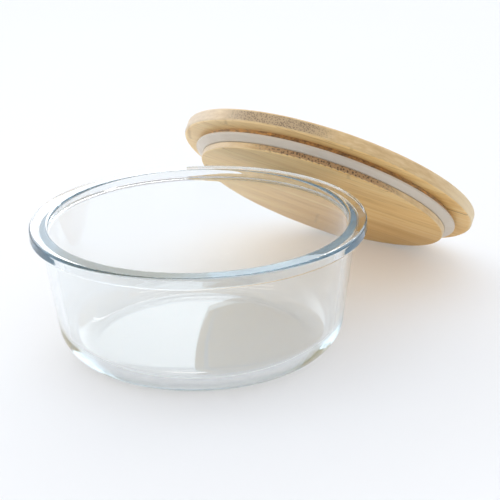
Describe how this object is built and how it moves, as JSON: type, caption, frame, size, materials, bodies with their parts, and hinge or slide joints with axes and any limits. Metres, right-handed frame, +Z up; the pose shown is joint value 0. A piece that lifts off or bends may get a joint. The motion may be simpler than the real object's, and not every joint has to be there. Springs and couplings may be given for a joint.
{
  "type": "glass storage container",
  "caption": "Round clear glass food bowl with a flanged rim, and a bamboo lid with a silicone seal ring that leans against the rim and lifts off.",
  "frame": {"origin": "centre of the glass bowl's flat base, on the table", "axes": "+Z up along the bowl's axis, +Y horizontally from the bowl's axis to where the leaning lid stands on the table, X across"},
  "size_m": [0.15, 0.2474, 0.0952],
  "materials": {
    "glass": "clear polished pressed glass",
    "bamboo": "fine sanded, oiled bamboo",
    "silicone": "milky translucent silicone, satin"
  },
  "bodies": {
    "bowl": {"glass_bowl": "glass"},
    "lid": {"lid_cover": "bamboo", "lid_plug": "bamboo", "seal_ring": "silicone"}
  },
  "joints": [
    {"name": "lid_lift", "type": "slide", "parent": "bowl", "child": "lid", "axis": [0, 0.6074, 0.7944], "range_m": [0, 0.1]}
  ]
}
